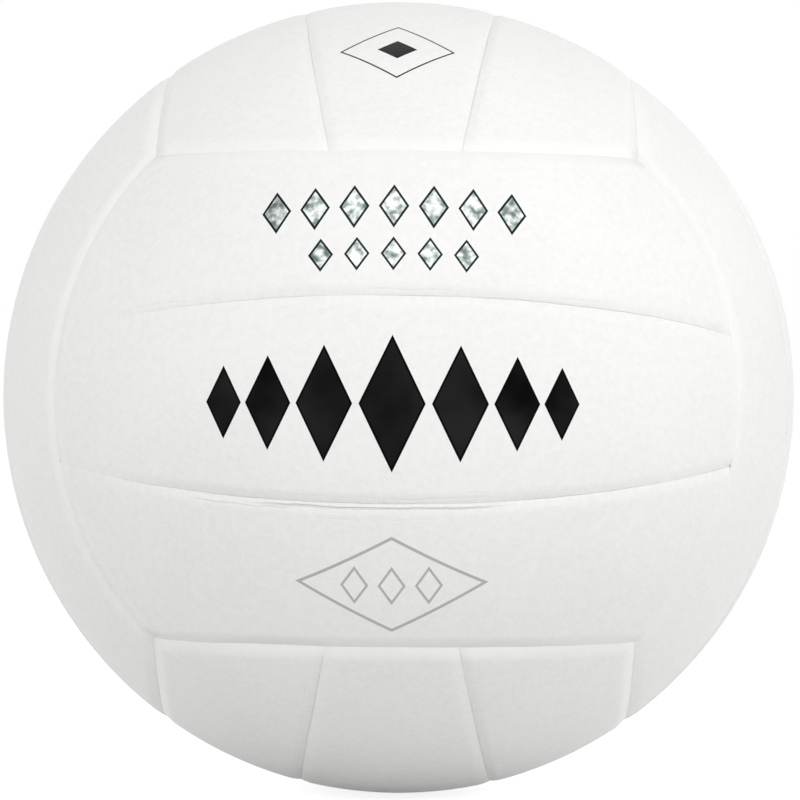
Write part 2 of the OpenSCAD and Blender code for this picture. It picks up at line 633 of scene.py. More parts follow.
def start_material(name: str) -> Graph:
    """Starts a material.

    Args:
        name: The material's name.

    Returns:
        Its graph, which is empty.
    """
    material = bpy.data.materials.new(name)
    material.use_nodes = True
    return Graph(material.node_tree)


def rgba(colour: Rgb) -> tuple[float, float, float, float]:
    """A colour with full alpha."""
    return (*colour, 1.0)


@dataclass(frozen=True)
class Print:
    """A row of diamonds printed on the leather, in millimetres over the surface.

    Attributes:
        elevation: Angle of the row's middle over the horizon, in degrees.
        wide: Half width of the middle diamond.
        high: Half height of that diamond.
        pitch: Distance from one diamond to the next.
        each_side: Number of diamonds on each side of the middle one.
        shrink: Share of its size that each next diamond loses.
        line: Width of the outline.
        outline: True to print the outline alone.
    """

    elevation: float
    wide: float
    high: float
    pitch: float = 100.0
    each_side: float = 0.0
    shrink: float = 0.001
    line: float = 0.5
    outline: bool = False


@dataclass
class Coat:
    """What a material's surface looks like so far.

    Attributes:
        colour: Its colour.
        roughness: Its roughness.
        height: Its fine relief, in steps of the finish's own unit.
        metallic: How far it is metal.
    """

    colour: Value
    roughness: Value | float
    height: Value
    metallic: Value | float = 0.0

    def material(
        self, graph: Graph, name: str, unit: float, under: Value | None = None
    ) -> bpy.types.Material:
        """Closes the material with this coat.

        Args:
            graph: The material's graph.
            name: The material's name.
            unit: Length that a height of 1 stands for, in metres.
            under: The normal that the relief is laid on, if it isn't the mesh's own.

        Returns:
            The material.
        """
        looks = {"Base Color": self.colour, "Roughness": self.roughness, "Metallic": self.metallic}
        looks["Normal"] = graph.bump(self.height, unit, under)
        shader = graph.node("ShaderNodeBsdfPrincipled", looks)
        graph.node("ShaderNodeOutputMaterial", {"Surface": shader.outputs["BSDF"]})
        return bpy.data.materials[name]


@dataclass(frozen=True)
class InkLook:
    """What a print looks like.

    Attributes:
        colour: Its main colour.
        second: Colour that it drifts to in patches. In the black ink the paler patches are a painted sheen,
            in the silver the dark patches are painted reflections, and the grey drifts in its own tone.
        rim: Colour of its outline.
        patch: Size of the patches, in millimetres.
        metallic: How far it is metal inside the outline.
        rim_metallic: How far the outline is metal. Black metal gives no white gloss.
        roughness: Its roughness.
        grain_share: Share of the leather's grain that shows through it.
        thickness: Its own height, in grain heights.
    """

    colour: Rgb
    second: Rgb
    rim: Rgb
    patch: float
    metallic: float
    rim_metallic: float
    roughness: float
    grain_share: float = 0.9
    thickness: float = 0.4

    def cover(
        self, graph: Graph, effects: Effects, place: Value, coat: Coat, inked: Value, rim: Value
    ) -> None:
        """Lays the ink over a coat.

        Args:
            graph: The material's graph.
            effects: The shared node groups.
            place: Coordinates in millimetres.
            coat: The coat, which is changed.
            inked: Mask of what is inked.
            rim: Mask of the outlines in it.
        """
        # Patches of the second colour: a painted sheen in the black ink, painted reflections in the silver.
        tone_and_sheen = graph.group(effects.blotches, vector=place, size=self.patch, low=0.0, high=1.0)["Tone"]
        fill = graph.mix(tone_and_sheen, rgba(self.colour), rgba(self.second))
        coat.colour = graph.mix(inked, coat.colour, graph.mix(rim, fill, rgba(self.rim)))
        coat.roughness = coat.roughness - (coat.roughness - self.roughness) * inked
        coat.height = coat.height * self.grain_share + inked * self.thickness
        if self.rim_metallic > 0.0:
            coat.metallic = inked * (rim * (self.rim_metallic - self.metallic) + self.metallic)


class Ink(Enum):
    """What a print is made with."""

    # The black's paler second colour is a painted sheen, and the silver's dark one is painted reflections.
    BLACK = InkLook((0.002, 0.002, 0.002), (0.014, 0.014, 0.014), (0.002, 0.002, 0.002), 26.0, 1.0, 1.0, 0.35)
    SILVER = InkLook((0.78, 0.82, 0.81), (0.1, 0.135, 0.125), (0.01, 0.016, 0.014), 2.0, 0.45, 1.0, 0.3)
    GREY = InkLook((0.4, 0.4, 0.4), (0.46, 0.46, 0.46), (0.42, 0.42, 0.42), 6.0, 0.0, 0.0, 0.45)


@dataclass(frozen=True)
class Padding:
    """Roundness that a panel's edge has over its modelled form, in millimetres.

    Attributes:
        width: Width of the rounded edge.
        slope: Steepness at the seam.
    """

    width: float
    slope: float


@dataclass(frozen=True)
class Fold:
    """A long thin crease beside an inner seam, in millimetres.

    Attributes:
        start: Where it starts along the strip.
        end: Where it ends.
        beside: Its distance from the seam.
        width: Half its width.
        depth: Its depth.
    """

    start: float
    end: float
    beside: float
    width: float = 0.24
    depth: float = 0.3


@dataclass(frozen=True)
class PanelPlace:
    """Where a point of a panel lies, in millimetres, for a material.

    Attributes:
        place: Its own coordinates.
        strip: Its place along the strip, its distance from the inner seam and the panel's number.
        away: That distance alone.
        side: Its distance from the block's long side.
        end: Its distance from the strip's end.
        pit: How far into a pit it lies.
        inner_share: Share of the usual depth that the block's inner seams have here.
        block_share: The same for the seams round it.
    """

    place: Value
    strip: Value
    away: Value
    side: Value
    end: Value
    pit: Value
    inner_share: Value
    block_share: Value

    @classmethod
    def read(cls, graph: Graph) -> "PanelPlace":
        """Reads the place from the panel's mesh.

        Args:
            graph: The material's graph.

        Returns:
            The place.
        """
        strip = graph.attribute("strip")
        _, away, _ = graph.parts(strip)
        side, end, pit = graph.parts(graph.attribute("edge"))
        inner_share, block_share, _ = graph.parts(graph.attribute("hold"))
        return cls(graph.millimetres(), strip, away, side, end, pit, inner_share, block_share)


@dataclass(frozen=True)
class LeatherFinish:
    """White full grain leather with a satin coat.

    Attributes:
        ball_r: Radius of the ball, for prints.
        colour: Colour of the grain.
        soiled: Colour of the darker patches and valleys, of the dirt and painted shade along the seams, and
            of the painted shade in the folds.
        pit_colour: Painted shade deep in the pits where panels meet.
        pebble: Size of the grain's pebbles, in millimetres.
        valley: Width of the valleys between them, as a share of a pebble.
        grain_height: Height of the grain, in metres.
        mottle: How much its tone changes from spot to spot.
        patch: Size of its paler and darker patches, in millimetres.
        patchy: How far the darkest patch goes towards that darker colour.
        valley_soil: How much darker the valleys of the grain are.
        roughness: Roughness of the pebbles.
        valley_roughness: What the valleys add to it.
        crease_depth: Depth of the creases along the seams, in millimetres.
        seam_soil: How dark the joint line is, partly dirt and partly painted shade where the groove's shade
            falls. It also sets the painted shade in the folds.
        soil_w: Width of that line on each panel, in millimetres.
        worn: Painted highlight: a paler colour on the edges along the seams round the blocks.
        worn_w: Width of those edges, in millimetres.
        pit_edge: How far into a pit its painted shade starts.
        inner_pad: Roundness at the seams inside a block.
        side_pad: Roundness at a block's long sides.
        end_pad: Roundness at the strips' ends.
    """

    ball_r: float
    colour: Rgb = (0.862, 0.86, 0.851)
    soiled: Rgb = (0.66, 0.645, 0.61)
    pit_colour: Rgb = (0.2, 0.19, 0.17)
    pebble: float = 0.8
    valley: float = 0.28
    grain_height: float = mm(0.028)
    mottle: float = 0.45
    patch: float = 38.0
    patchy: float = 0.08
    valley_soil: float = 0.08
    roughness: float = 0.46
    valley_roughness: float = 0.12
    crease_depth: float = 0.05
    seam_soil: float = 0.25
    soil_w: float = 0.35
    worn: Rgb = (0.905, 0.903, 0.895)
    worn_w: float = 5.5
    pit_edge: float = 0.2
    inner_pad: Padding = Padding(3.2, 0.16)
    side_pad: Padding = Padding(4.0, 0.38)
    end_pad: Padding = Padding(4.4, 0.2)

    def over_ball(self, graph: Graph, place: Value, elevation: float) -> Value:
        """Coordinates over the ball's surface from the middle of a print.

        Args:
            graph: The material's graph.
            place: Coordinates in millimetres.
            elevation: Angle of the print's middle over the horizon, in degrees.

        Returns:
            A vector with the distance to the right and the distance up.
        """
        radius = self.ball_r * TO_MM
        east, north, height = graph.parts(place)
        right = graph.math("ARCSINE", east / radius) * radius
        climb = graph.math("ARCTAN2", height, north * -1.0) - math.radians(elevation)
        return graph.vector(right, climb * radius)

    def bare(self, graph: Graph, effects: Effects, spot: PanelPlace) -> Coat:
        """The leather without print.

        Args:
            graph: The material's graph.
            effects: The shared node groups.
            spot: Where a point of the panel lies.

        Returns:
            The coat.
        """
        grain = graph.group(effects.grain, vector=spot.place, pebble=self.pebble, valley=self.valley)
        tone = graph.group(effects.blotches, vector=spot.place, size=self.patch, low=0.0, high=self.patchy)
        # The joint line is darkened: partly dirt, partly painted shade where the groove's shade falls.
        joint = graph.ramp(spot.away, 0.0, self.soil_w, self.seam_soil, 0.0) * spot.inner_share
        uneven = tone["Tone"] + grain["Mottle"] * self.mottle + grain["Valleys"] * self.valley_soil
        dark_share = graph.math("ADD", uneven, joint, clamp=True)
        colour = graph.mix(dark_share, rgba(self.colour), rgba(self.soiled))
        # The edges along the seams round the blocks are painted paler, as a painted highlight.
        nearest = graph.math("MINIMUM", spot.side, spot.end)
        edge = graph.ramp(nearest, 0.0, self.worn_w, 1.0, 0.0)
        highlight_share = graph.math("MULTIPLY", edge, spot.block_share, clamp=True)
        colour = graph.mix(highlight_share, colour, rgba(self.worn))
        # Painted shade deep in the pits where three panels meet.
        colour = graph.mix(graph.ramp(spot.pit, self.pit_edge, 1.0), colour, rgba(self.pit_colour))
        roughness = grain["Valleys"] * self.valley_roughness + self.roughness
        return Coat(colour, roughness, grain["Height"])

    def relief(self, graph: Graph, effects: Effects, spot: PanelPlace) -> Value:
        """Height of the padded edges and the creases along the seams.

        Args:
            graph: The material's graph.
            effects: The shared node groups.
            spot: Where a point of the panel lies.

        Returns:
            The height, in millimetres.
        """
        raised = graph.group(effects.creases, vector=spot.strip)["Height"] * self.crease_depth
        edges = (
            (self.inner_pad, spot.away, spot.inner_share),
            (self.side_pad, spot.side, spot.block_share),
            (self.end_pad, spot.end, spot.block_share),
        )
        for pad, away, share in edges:
            padded = graph.group(effects.padding, away=away, width=pad.width, slope=pad.slope, share=share)
            raised = raised + padded["Height"]
        return raised

    def material(
        self, effects: Effects, name: str, ink: Ink | None = None, prints: Sequence[Print] = (),
        folds: Sequence[Fold] = (),
    ) -> bpy.types.Material:
        """Builds the material.

        Args:
            effects: The shared node groups.
            name: The material's name.
            ink: What the prints are made with.
            prints: The printed rows, if any.
            folds: The long creases, if any.

        Returns:
            The material.
        """
        graph = start_material(name)
        spot = PanelPlace.read(graph)
        coat = self.bare(graph, effects, spot)
        if ink is not None:
            inked, rim = self.printed(graph, effects, spot.place, prints)
            ink.value.cover(graph, effects, spot.place, coat, inked, rim)
        raised = self.relief(graph, effects, spot)
        for fold in folds:
            made = graph.group(effects.fold, vector=spot.strip, **vars(fold))
            raised = raised + made["Height"]
            # Each fold is also darkened in colour: painted shade in the crease.
            coat.colour = graph.mix(made["Mask"] * self.seam_soil, coat.colour, rgba(self.soiled))
        return coat.material(graph, name, self.grain_height, graph.bump(raised, mm(1.0)))

    def printed(
        self, graph: Graph, effects: Effects, place: Value, prints: Sequence[Print]
    ) -> tuple[Value, Value]:
        """Masks of all the prints together.

        Args:
            graph: The material's graph.
            effects: The shared node groups.
            place: Coordinates in millimetres.
            prints: The printed rows.

        Returns:
            The mask of what is inked and the mask of the rims in it.
        """
        inked, rims = None, None
        for row in prints:
            spot = self.over_ball(graph, place, row.elevation)
            made = graph.group(
                effects.diamonds, vector=spot, wide=row.wide, high=row.high, pitch=row.pitch,
                each_side=row.each_side, shrink=row.shrink, line=row.line,
            )
            mask = made["Rim" if row.outline else "Mask"]
            inked = mask if inked is None else graph.math("MAXIMUM", inked, mask)
            rims = made["Rim"] if rims is None else graph.math("MAXIMUM", rims, made["Rim"])
        return inked, rims


@dataclass(frozen=True)
class RubberFinish:
    """Moulded rubber.

    Attributes:
        colour: Its colour.
        dusty: Colour of the bloom on it.
        roughness: Roughness where it is clean.
        texture: Size of its fine texture, in millimetres.
        relief: Height of that texture, in metres.
        patch: Size of the blooming patches, in millimetres.
        bloom: Least and greatest share of bloom.
        dulling: Roughness that full bloom adds.
    """

    colour: Rgb
    dusty: Rgb
    roughness: float = 0.5
    texture: float = 0.25
    relief: float = mm(0.008)
    patch: float = 6.0
    bloom: tuple[float, float] = (0.05, 0.4)
    dulling: float = 0.25

    def material(self, effects: Effects, name: str) -> bpy.types.Material:
        """Builds the material.

        Args:
            effects: The shared node groups.
            name: The material's name.

        Returns:
            The material.
        """
        graph = start_material(name)
        place = graph.millimetres()
        least, most = self.bloom
        bloom = graph.group(effects.blotches, vector=place, size=self.patch, low=least, high=most)["Tone"]
        colour = graph.mix(bloom, rgba(self.colour), rgba(self.dusty))
        roughness = bloom * self.dulling + self.roughness
        fine = graph.noise(place, self.texture, 3.0)
        return Coat(colour, roughness, fine).material(graph, name, self.relief)


@dataclass(frozen=True)
class ThreadFinish:
    """Woven cloth or wound thread.

    Attributes:
        colour: Colour of the threads.
        gap: Colour between them.
        pitch: Distance from thread to thread, in millimetres.
        cross: Height of the crossing threads, from 0 for none to 1.
        relief: Height of a thread, in metres.
        patch: Size of its paler and darker patches, in millimetres.
        patchy: Share of the gap's colour in the darkest patch.
        gap_share: The same in a gap.
        roughness: Roughness of the threads.
        gap_roughness: What the gaps add to it.
    """

    colour: Rgb
    gap: Rgb
    pitch: float
    cross: float
    relief: float
    patch: float = 9.0
    patchy: float = 0.3
    gap_share: float = 0.7
    roughness: float = 0.82
    gap_roughness: float = 0.1

    def material(self, effects: Effects, name: str) -> bpy.types.Material:
        """Builds the material.

        Args:
            effects: The shared node groups.
            name: The material's name.

        Returns:
            The material.
        """
        graph = start_material(name)
        place = graph.millimetres()
        threads = graph.group(effects.weave, vector=place, pitch=self.pitch, cross=self.cross)
        tone = graph.group(effects.blotches, vector=place, size=self.patch, low=0.0, high=self.patchy)["Tone"]
        share = graph.math("ADD", tone, threads["Gaps"] * self.gap_share, clamp=True)
        colour = graph.mix(share, rgba(self.colour), rgba(self.gap))
        roughness = share * self.gap_roughness + self.roughness
        return Coat(colour, roughness, threads["Height"]).material(graph, name, self.relief)


@dataclass(frozen=True)
class FeltFinish:
    """Cushioning felt with loose fibres.

    Attributes:
        colour: Colour of the felt.
        shade: Colour of its hollows.
        relief: Height of its fibres, in metres.
        fibre: Width of a tuft of fibres, in millimetres.
        patch: Size of its paler and darker patches, in millimetres.
        patchy: Share of the hollows' colour in the darkest patch, and in a hollow.
        roughness: Its roughness.
    """

    colour: Rgb = (0.74, 0.71, 0.62)
    shade: Rgb = (0.52, 0.49, 0.4)
    relief: float = mm(0.15)
    fibre: float = 0.5
    patch: float = 7.0
    patchy: float = 0.5
    roughness: float = 0.95

    def material(self, effects: Effects, name: str) -> bpy.types.Material:
        """Builds the material.

        Args:
            effects: The shared node groups.
            name: The material's name.

        Returns:
            The material.
        """
        graph = start_material(name)
        place = graph.millimetres()
        fibres = graph.noise(place, self.fibre, 6.0)
        tone = graph.group(effects.blotches, vector=place, size=self.patch, low=0.0, high=self.patchy)["Tone"]
        hollow, crest = 0.35, 0.65
        hollows = graph.ramp(fibres, hollow, crest, 1.0, 0.0)
        share = graph.math("ADD", tone, hollows * self.patchy, clamp=True)
        colour = graph.mix(share, rgba(self.colour), rgba(self.shade))
        return Coat(colour, self.roughness, fibres).material(graph, name, self.relief)


# Pieces

def select_only(piece: bpy.types.Object) -> None:
    """Makes a piece the active one and the only one that is selected.

    Args:
        piece: The piece's object.
    """
    deselect_all()
    piece.select_set(True)
    bpy.context.view_layer.objects.active = piece


def keep_piece(
    piece: bpy.types.Object, nodes: Sequence[str], material: bpy.types.Material
) -> None:
    """Dresses a finished piece and ties it to the frame.

    Args:
        piece: The piece's object.
        nodes: The CAD nodes that it stands for.
        material: Its finish.
    """
    piece.data.materials.clear()
    piece.data.materials.append(material)
    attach(piece, BODY)
    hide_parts(*nodes)
    log.info("%s: %d faces", piece.name, len(piece.data.polygons))


def turned_body(
    name: str, outline: Sequence[tuple[float, float]], steps: int = 96, bevel: float = 0.0
) -> bpy.types.Object:
    """Turns an outline once round the Y axis.

    Args:
        name: Name of the new object.
        outline: Its points, as distance from the axis and place along it.
        steps: Number of steps round the axis.
        bevel: Width of the bevel on its sharp edges.

    Returns:
        The closed body.
    """
    deselect_all()
    bpy.ops.mesh.primitive_plane_add(size=mm(1.0), location=(0.0, 0.0, 0.0))
    body = bpy.context.object
    body.name = body.data.name = name
    bpy.ops.object.mode_set(mode="EDIT")
    bpy.ops.mesh.select_all(action="SELECT")
    bpy.ops.mesh.merge(type="CENTER")
    here = Vector((0.0, 0.0, 0.0))
    for count, (radius, along) in enumerate(outline):
        there = Vector((radius, along, 0.0))
        if count == 0:
            bpy.ops.transform.translate(value=there - here)
        else:
            bpy.ops.mesh.extrude_region_move(TRANSFORM_OT_translate={"value": there - here})
        here = there
    bpy.ops.mesh.select_all(action="SELECT")
    bpy.ops.mesh.spin(steps=steps, angle=math.tau, center=(0.0, 0.0, 0.0), axis=(0.0, 1.0, 0.0))
    bpy.ops.mesh.select_all(action="SELECT")
    bpy.ops.mesh.remove_doubles(threshold=mm(0.001))
    bpy.ops.mesh.normals_make_consistent(inside=False)
    bpy.ops.object.mode_set(mode="OBJECT")
    if bevel > 0.0:
        rounding = body.modifiers.new("rounding", "BEVEL")
        rounding.width = bevel
        rounding.segments = BEVEL_STEPS
        rounding.limit_method = "ANGLE"
        bpy.ops.object.modifier_apply(modifier=rounding.name)
    bpy.ops.object.shade_smooth_by_angle(angle=TURNED_SMOOTH)
    return body


@dataclass(frozen=True)
class SeamEdge:
    """How a panel's surface falls towards a seam.

    Attributes:
        shoulder: Width of the soft fall.
        slope: Steepness that it reaches at the seam.
        fold: Width of the tight fold at the joint line.
        crease: Depth of that fold.
        inner: True for a seam inside a block.
    """

    shoulder: float
    slope: float
    fold: float
    crease: float
    inner: bool = False

    def depth(self, away: float, share: float, firmness: float) -> float:
        """Depth of the surface under the ball's.

        The shoulder's slope goes from its full value at the seam to none, as a
        parabola, and the fold is a quarter of an ellipse.

        Args:
            away: Distance over the ball to the seam.
            share: Share of the soft fall that there is here.
            firmness: How tight the fold is here, from 0 to about 1.

        Returns:
            The depth.
        """
        depth = 0.0
        if away < self.shoulder:
            part = away / self.shoulder
            whole = self.slope * self.shoulder
            depth += share * whole * (2.0 / 3.0 - part + part**3 / 3.0)
        if away < self.fold:
            part = 1.0 - away / self.fold
            depth += self.crease * firmness * (1.0 - math.sqrt(1.0 - part**2))
        return depth


@dataclass(frozen=True)
class SeamSpot:
    """A place where a seam is shallower, since the leather bridges it, or deeper.

    Attributes:
        towards: Direction of the place from the ball's centre.
        reach: Radius of the place.
        loss: Share of the seam's depth that is gone in its middle, below 0 where it is deeper.
        inner: True if it is a seam inside a block.
    """

    towards: tuple[float, float, float]
    reach: float
    loss: float
    inner: bool

    def left(self, spot: Vector, inner: bool) -> float:
        """Share of a seam's depth that is left at a point of the ball.

        Args:
            spot: The point.
            inner: True if the seam there is one inside a block.

        Returns:
            The share.
        """
        if inner is not self.inner:
            return 1.0
        middle = Vector(self.towards).normalized() * spot.length
        gap = (spot - middle).length / self.reach
        return 1.0 - self.loss * math.exp(-gap * gap)


@dataclass(frozen=True)
class Drift:
    """A measure that changes slowly from place to place.

    Attributes:
        usual: Its middle value.
        change: How far it drifts from that.
        patch: Length over which it drifts.
    """

    usual: float
    change: float
    patch: float

    def at(self, spot: Vector) -> float:
        """Its value at a point."""
        return self.usual + self.change * noise.noise(spot / self.patch)


@dataclass(frozen=True)
class Cover:
    """The eighteen leather panels.

    Attributes:
        plan: Where the seams lie.
        leather_t: Thickness of the leather.
        valve_hole_r: Radius of the valve's hole.
        inner_edge: Fall at the seams inside a block.
        side_edge: Fall at the long side of a block's outer strip.
        end_edge: Fall at the ends of the strips.
        seam_share: Share of these falls that there is.
        firmness: How tight the folds at the joint lines are.
        seam_spots: Places where the seams are shallower or deeper.
        swells: Slow swells of the surface, as shares of the unevenness.
        unevenness: Height of the swells.
        bends: Length of each kind of bend in the seams, and how far it strays.
        columns: Faces along a strip.
        lines: Faces across it.
        end_pull: How much the columns crowd towards a strip's ends.
        side_pull: How much the lines crowd towards its sides.
        seam_limit: Share of the leather's thickness that seams may take.
        limit: Share of it that seams, pits and swells may take together.
        pit_depth: Depth of the pit where three panels meet.
        pit_r: Radius of that pit.
        pit_reach: How many times that radius the pit's slope reaches.
        open_pit: How open the pits are at the lower corners of front and back.
        shut_pit: How open the others are.
        lip: Radius of the rounded edge of the valve's hole.
        lip_drop: How far the lip's top lies under the ball's surface.
    """

    plan: SeamPlan
    leather_t: float
    valve_hole_r: float
    inner_edge: SeamEdge = SeamEdge(mm(3.2), 0.2, mm(0.4), mm(0.12), inner=True)
    side_edge: SeamEdge = SeamEdge(mm(3.4), 0.25, mm(0.5), mm(0.03))
    end_edge: SeamEdge = SeamEdge(mm(4.2), 0.17, mm(0.5), mm(0.03))
    seam_share: Drift = Drift(0.95, 0.45, mm(32.0))
    firmness: Drift = Drift(0.7, 0.8, mm(17.0))
    seam_spots: tuple[SeamSpot, ...] = (
        SeamSpot((-0.76, -0.63, 0.17), mm(32.0), 0.95, True),
        SeamSpot((-0.74, -0.65, -0.17), mm(24.0), 0.6, True),
        SeamSpot((0.61, -0.76, -0.22), mm(32.0), 0.4, True),
        SeamSpot((0.74, -0.58, -0.34), mm(38.0), 0.85, False),
        SeamSpot((0.812, -0.577, -0.09), mm(18.0), 0.5, False),
        SeamSpot((0.679, -0.577, 0.454), mm(28.0), -0.2, False),
        SeamSpot((-0.7, -0.577, -0.42), mm(34.0), -0.28, False),
        SeamSpot((0.0, -0.82, 0.58), mm(65.0), 0.45, False),
    )
    swells: tuple[Drift, ...] = (Drift(0.6, 1.0, mm(30.0)), Drift(0.0, 0.3, mm(10.0)))
    unevenness: float = mm(0.1)
    bends: tuple[tuple[float, float], ...] = ((mm(26.0), mm(0.22)), (mm(4.5), mm(0.09)))
    columns: int = 280
    lines: int = 48
    end_pull: float = 1.3
    side_pull: float = 2.3
    seam_limit: float = 0.9
    limit: float = 0.93
    pit_depth: float = mm(0.3)
    pit_r: float = mm(0.75)
    pit_reach: float = 3.0
    open_pit: float = 0.5
    shut_pit: float = 0.2
    lip: float = mm(0.4)
    lip_drop: float = mm(0.18)

    @staticmethod
    def crowd(place: float, pull: float) -> float:
        """A place from -1 to 1, moved towards the ends."""
        return math.tanh(pull * place) / math.tanh(pull)

    def model_strip(self, row: Row) -> bpy.types.Object:
        """Models a strip of the front block, before its edges are turned down.

        A grid is laid on the backing between the seams' circles, which no operator
        draws, and its whole skin is then pulled out to the ball's surface.

        Args:
            row: The strip.

        Returns:
            The closed strip, as thick as the leather.
        """
        deselect_all()
        bpy.ops.mesh.primitive_grid_add(x_subdivisions=self.columns, y_subdivisions=self.lines, size=2.0)
        strip = bpy.context.object
        underside = 1.0 - self.leather_t / self.plan.ball_r
        for vertex in strip.data.vertices:
            along = self.crowd(vertex.co.x, self.end_pull)
            across = self.crowd(vertex.co.y, self.side_pull)
            vertex.co = self.plan.point(row, along, across) * underside
        bpy.ops.object.mode_set(mode="EDIT")
        bpy.ops.mesh.select_all(action="SELECT")
        bpy.ops.mesh.extrude_region_move(TRANSFORM_OT_translate={"value": (0.0, 0.0, 0.0)})
        bpy.ops.transform.resize(value=(1.0 / underside,) * 3, center_override=(0.0, 0.0, 0.0))
        bpy.ops.mesh.select_all(action="SELECT")
        bpy.ops.mesh.normals_make_consistent(inside=False)
        bpy.ops.object.mode_set(mode="OBJECT")
        for name in ("strip", "edge", "hold"):
            strip.data.attributes.new(name, "FLOAT_VECTOR", "POINT")
        return strip

    @staticmethod
    def copy_strip(strip: bpy.types.Object, name: str) -> bpy.types.Object:
        """Copies a strip with its own mesh.

        Args:
            strip: The strip.
            name: The copy's name.

        Returns:
            The copy.
        """
        select_only(strip)
        bpy.ops.object.duplicate(linked=False)
        copy = bpy.context.object
        copy.name = copy.data.name = name
        return copy

    def junctions(self) -> list[tuple[Vector, float]]:
        """The 24 points where inner seams end at the next block.

        Returns:
            The points, and how open the pit is at each.
        """
        spots = []
        sideways = math.sqrt(self.plan.ball_r**2 - self.plan.cube_half**2 - self.plan.junction**2)
        for block in Block:
            level = block in (Block.FRONT, Block.BACK)
            for right in (-1.0, 1.0):
                for above in (-1.0, 1.0):
                    spot = Vector((right * sideways, -self.plan.cube_half, above * self.plan.junction))
                    opening = self.open_pit if level and above < 0.0 else self.shut_pit
                    spots.append((block.turn() @ spot, opening))
        return spots

    def stray(self, spot: Vector) -> Vector:
        """Works out how far the cover strays sideways at a point.

        Args:
            spot: The point.

        Returns:
            The way that it goes, along the ball's surface.
        """
        drift = Vector()
        for length, reach in self.bends:
            drift += noise.noise_vector(spot / length) * reach
        return drift - drift.project(spot)

    def seam_left(self, spot: Vector, inner: bool) -> float:
        """Share of a seam's usual depth that it has at a point.

        Args:
            spot: The point.
            inner: True if the seam is one inside a block.

        Returns:
            The share.
        """
        left = self.seam_share.at(spot)
        for place in self.seam_spots:
            left *= place.left(spot, inner)
        return left

    def pit_at(self, spot: Vector, pits: Sequence[tuple[Vector, float]]) -> float:
        """How far into a pit where three panels meet a point lies, from 0 to 1.

        Args:
            spot: The point.
            pits: Such places, and how open each is.

        Returns:
            The share of the pit's depth.
        """
        most = 0.0
        for middle, opening in pits:
            gap = (spot - middle).length / self.pit_r
            if gap < self.pit_reach:
                most = max(most, opening * math.exp(-gap * gap))
        return most

    def fall(self, spot: Vector, seams: Sequence[tuple[SeamEdge, float]], pit: float) -> float:
        """Depth of a panel's surface under the ball's.

        Args:
            spot: The point.
            seams: How the panel falls at each of its seams, and how far that seam is.
            pit: How far into a pit it lies.

        Returns:
            The depth.
        """
        firmness = self.firmness.at(spot)
        deepest = self.leather_t * self.seam_limit
        flat = 1.0
        for edge, away in seams:
            if away < edge.shoulder:
                share = self.seam_left(spot, edge.inner)
                flat *= max(0.0, 1.0 - edge.depth(away, share, firmness * share) / deepest)
        fall = deepest * (1.0 - flat) + self.pit_depth * pit
        fall += self.unevenness * sum(swell.at(spot) for swell in self.swells)
        return min(max(fall, 0.0), self.leather_t * self.limit)

    def settle(
        self, panel: bpy.types.Object, row: Row, turn: Matrix, pits: Sequence[tuple[Vector, float]],
        number: int,
    ) -> None:
        """Turns a panel to its place and gives its surface the form that it has there.

        Args:
            panel: The panel, modelled as a strip of the front block.
            row: Which strip it was modelled as.
            turn: Turn to its own place.
            pits: Points where three panels meet, and how open each pit there is.
            number: The panel's number, so that no two are wrinkled alike.
        """
        ball_r = self.plan.ball_r
        sides = self.plan.sides(row)
        edges = [self.inner_edge if seam.inner else self.side_edge for seam in sides]
        in_strip, at_edge, held = (panel.data.attributes[name].data for name in ("strip", "edge", "hold"))
        for vertex in panel.data.vertices:
            local = vertex.co.copy()
            spot = turn @ local
            outer = local.length > ball_r - self.leather_t / 2.0
            local = local.normalized() * ball_r
            seams = [(edge, seam.away(local, ball_r)) for edge, seam in zip(edges, sides)]
            inner_away, side = min((away, side) for side, (edge, away) in enumerate(seams) if edge.inner)
            side_away = min((away for edge, away in seams if not edge.inner), default=ball_r)
            end_away = self.plan.end_away(local)
            seams.append((self.end_edge, end_away))
            near = min(away for _, away in seams) < self.pit_r * self.pit_reach
            pit = self.pit_at(spot.normalized() * ball_r, pits) if near else 0.0
            at_edge[vertex.index].vector = (side_away * TO_MM, end_away * TO_MM, pit)
            held[vertex.index].vector = (self.seam_left(spot, True), self.seam_left(spot, False), 0.0)
            in_strip[vertex.index].vector = (local.x * TO_MM, inner_away * TO_MM, number + side / 2.0)
            fall = self.fall(spot, seams, pit) if outer else 0.0
            vertex.co = spot * (1.0 - fall / ball_r) + self.stray(spot)

    def punch_valve_hole(self, panel: bpy.types.Object) -> None:
        """Cuts the valve's hole, with a rounded lip, through a panel.

        Args:
            panel: The panel, which lies on +Y.
        """
        mouth = self.plan.ball_r - self.lip_drop
        inner_end, outer_end = mouth - mm(4.0), mouth + mm(1.0)
        flare, rounded, steps = mm(0.4), 0.98, 8
        outline = [(0.0, inner_end), (self.valve_hole_r, inner_end)]
        for step in range(steps + 1):
            rise = self.lip * rounded * step / steps
            out = self.lip - math.sqrt(self.lip**2 - rise**2)
            outline.append((self.valve_hole_r + out, mouth - self.lip + rise))
        outline += [(outline[-1][0] + flare, outer_end), (0.0, outer_end)]
        cutter = turned_body("hole_cutter", outline, steps=128)
        select_only(panel)
        cut = panel.modifiers.new("hole", "BOOLEAN")
        cut.operation = "DIFFERENCE"
        cut.solver = "EXACT"
        cut.object = cutter
        bpy.ops.object.modifier_apply(modifier=cut.name)
        bpy.data.objects.remove(cutter)

